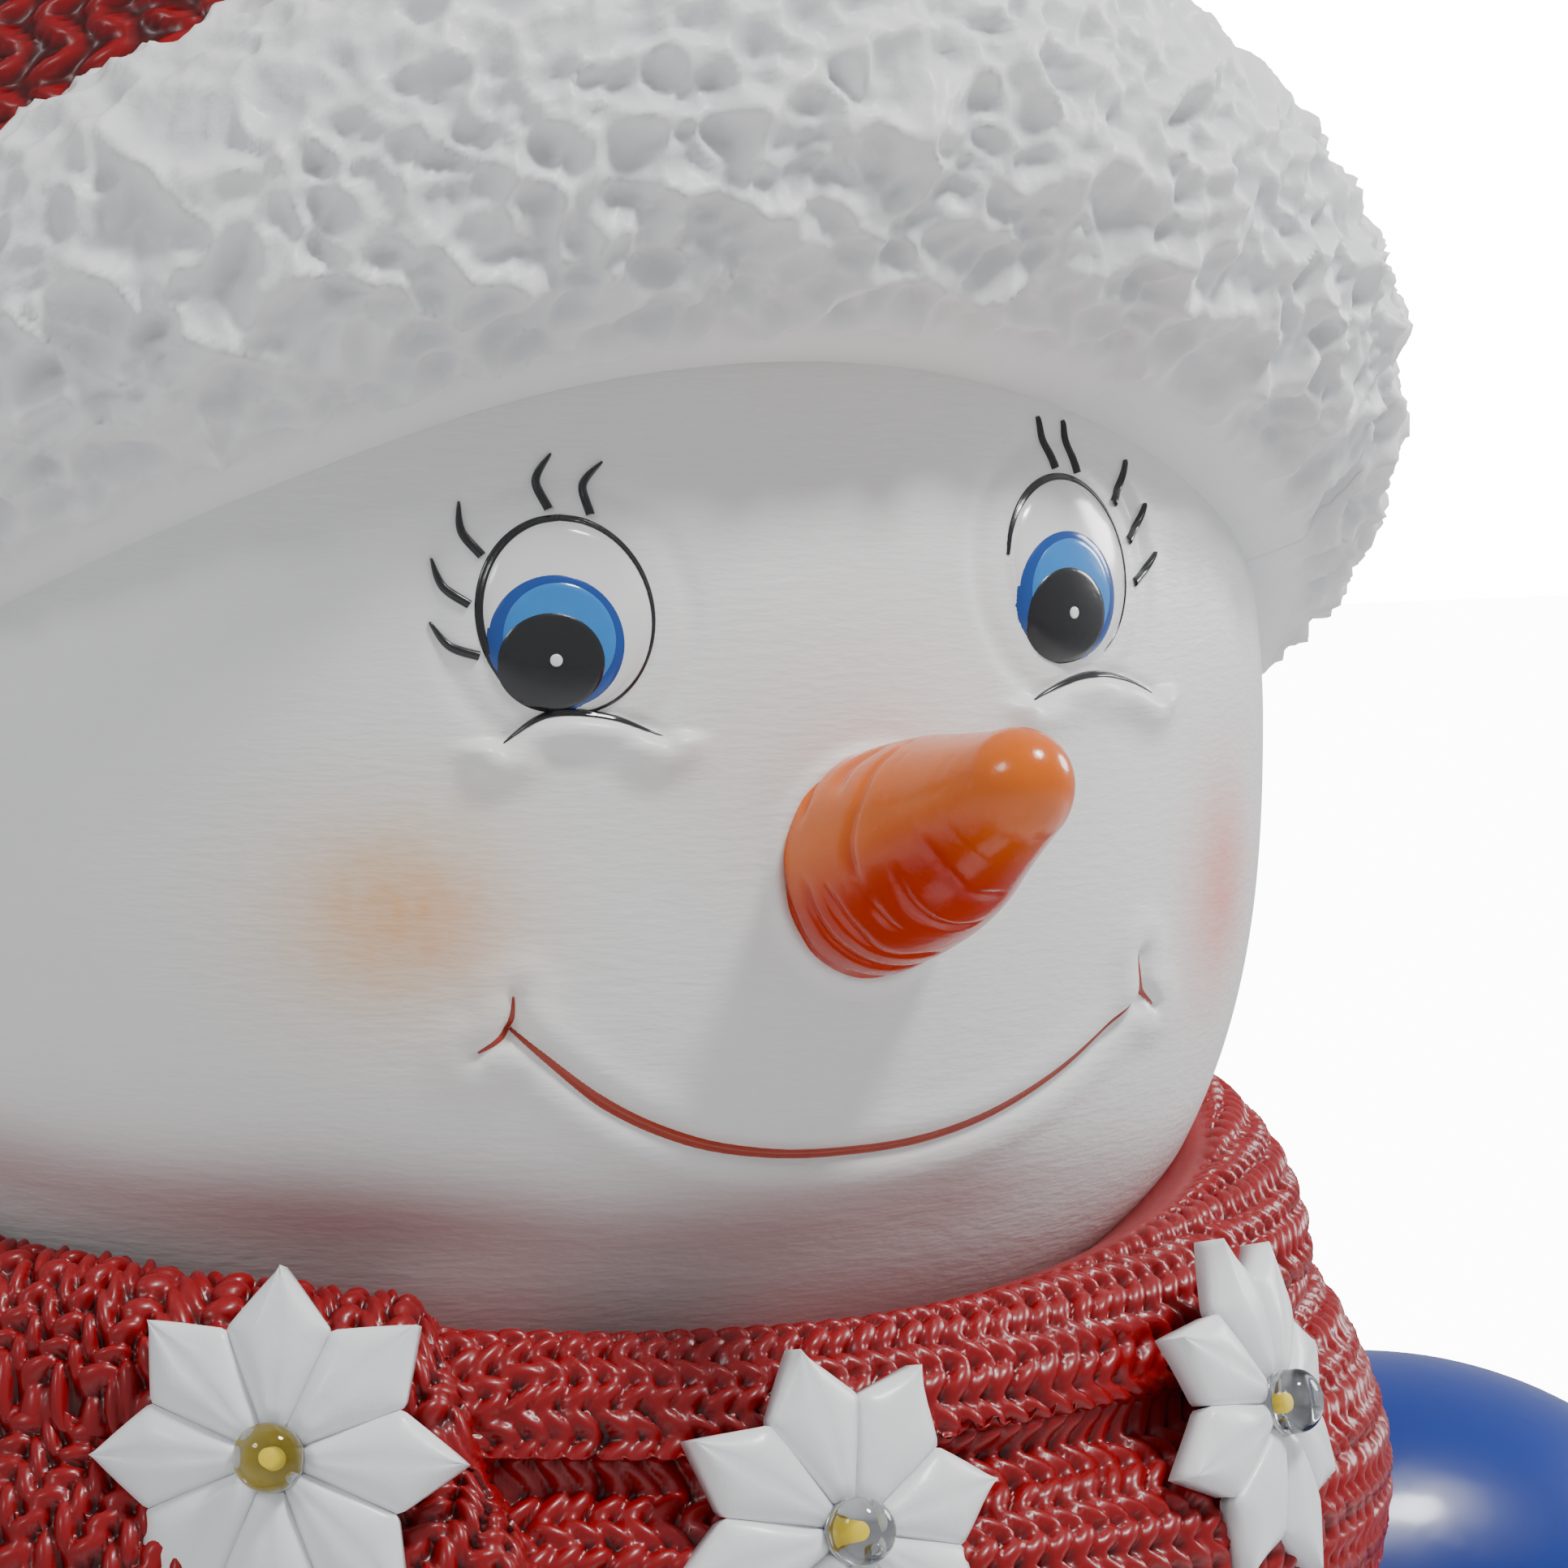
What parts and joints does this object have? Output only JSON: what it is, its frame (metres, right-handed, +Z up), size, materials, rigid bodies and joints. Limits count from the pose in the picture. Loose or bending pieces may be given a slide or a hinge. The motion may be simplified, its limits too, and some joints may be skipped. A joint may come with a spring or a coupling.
{
  "type": "yard snowman figure",
  "caption": "Cast snowman figure with a fur-trimmed knit hat, carrot nose, wound scarf carrying lit snowflakes, coat, mittens and a snow mound base; battery case with hinged door in the back.",
  "frame": {"origin": "centre of the oval base at ground level, under the rubber feet", "axes": "+Z up, the figure faces -Y, its right hand is on -X"},
  "size_m": [0.4012, 0.329, 0.6526],
  "materials": {
    "snow": "satin white paint on cast resin",
    "head": "satin white paint on cast resin, with brushed and airbrushed face paint",
    "fur": "satin white paint over dabbed plaster-like texture",
    "knit_red": "glossy deep red paint over moulded knit",
    "mitten_red": "glossy red paint",
    "coat_blue": "glossy royal blue paint",
    "carrot": "glossy orange paint",
    "button": "glossy black",
    "flake": "satin white",
    "lamp_clear": "clear moulded epoxy",
    "foot_rubber": "matte",
    "plate": "fine texture",
    "steel": "bright plated",
    "case_plastic": "moulded plastic, fine texture",
    "switch_black": "moulded plastic",
    "board": "solder mask",
    "cell": "printed sleeve, no marks",
    "wire": "insulation",
    "shrink": "shrink sleeve"
  },
  "bodies": {
    "figure": {"base_casting": "snow", "lower_snowball_casting": "snow", "head_casting": "head", "hat_trim_fur": "fur", "hat_pompom": "fur", "coat_hem_fur": "fur", "left_cuff_fur": "fur", "right_cuff_fur": "fur", "hat_crown": "knit_red", "scarf_wrap": "knit_red", "scarf_overlap": "knit_red", "scarf_tail": "knit_red", "scarf_fringe": "knit_red", "left_mitten": "mitten_red", "right_mitten": "mitten_red", "coat_casting": "coat_blue", "left_sleeve": "coat_blue", "right_sleeve": "coat_blue", "carrot_nose": "carrot", "coat_buttons": "button", "snowflake_1": "flake", "snowflake_2": "flake", "snowflake_3": "flake", "snowflake_4": "flake", "snowflake_5": "flake", "lamp_1": "lamp_clear", "lamp_2": "lamp_clear", "lamp_3": "lamp_clear", "lamp_4": "lamp_clear", "lamp_5": "lamp_clear", "rubber_feet": "foot_rubber", "base_plate": "plate", "base_plate_screws": "steel", "case_screws": "steel", "hinge_pin": "steel", "contact_springs": "steel", "contact_plates": "steel", "battery_case": "case_plastic", "switch_body": "switch_black", "timer_board": "board", "battery_cells": "cell", "lamp_wires": "wire", "battery_lead": "wire", "lamp_shrink_sleeves": "shrink", "wire_joint_sleeve": "shrink"},
    "door": {"battery_door": "case_plastic"},
    "slider": {"switch_slider": "switch_black"}
  },
  "joints": [
    {"name": "battery_door_hinge", "type": "hinge", "parent": "figure", "child": "door", "pos_m": [0.012, 0.1279, 0.2083], "axis": [1, 0, 0], "range_deg": [0, 110]},
    {"name": "switch_slide", "type": "slide", "parent": "figure", "child": "slider", "axis": [1, 0, 0], "range_m": [-0.003, 0.003]}
  ]
}
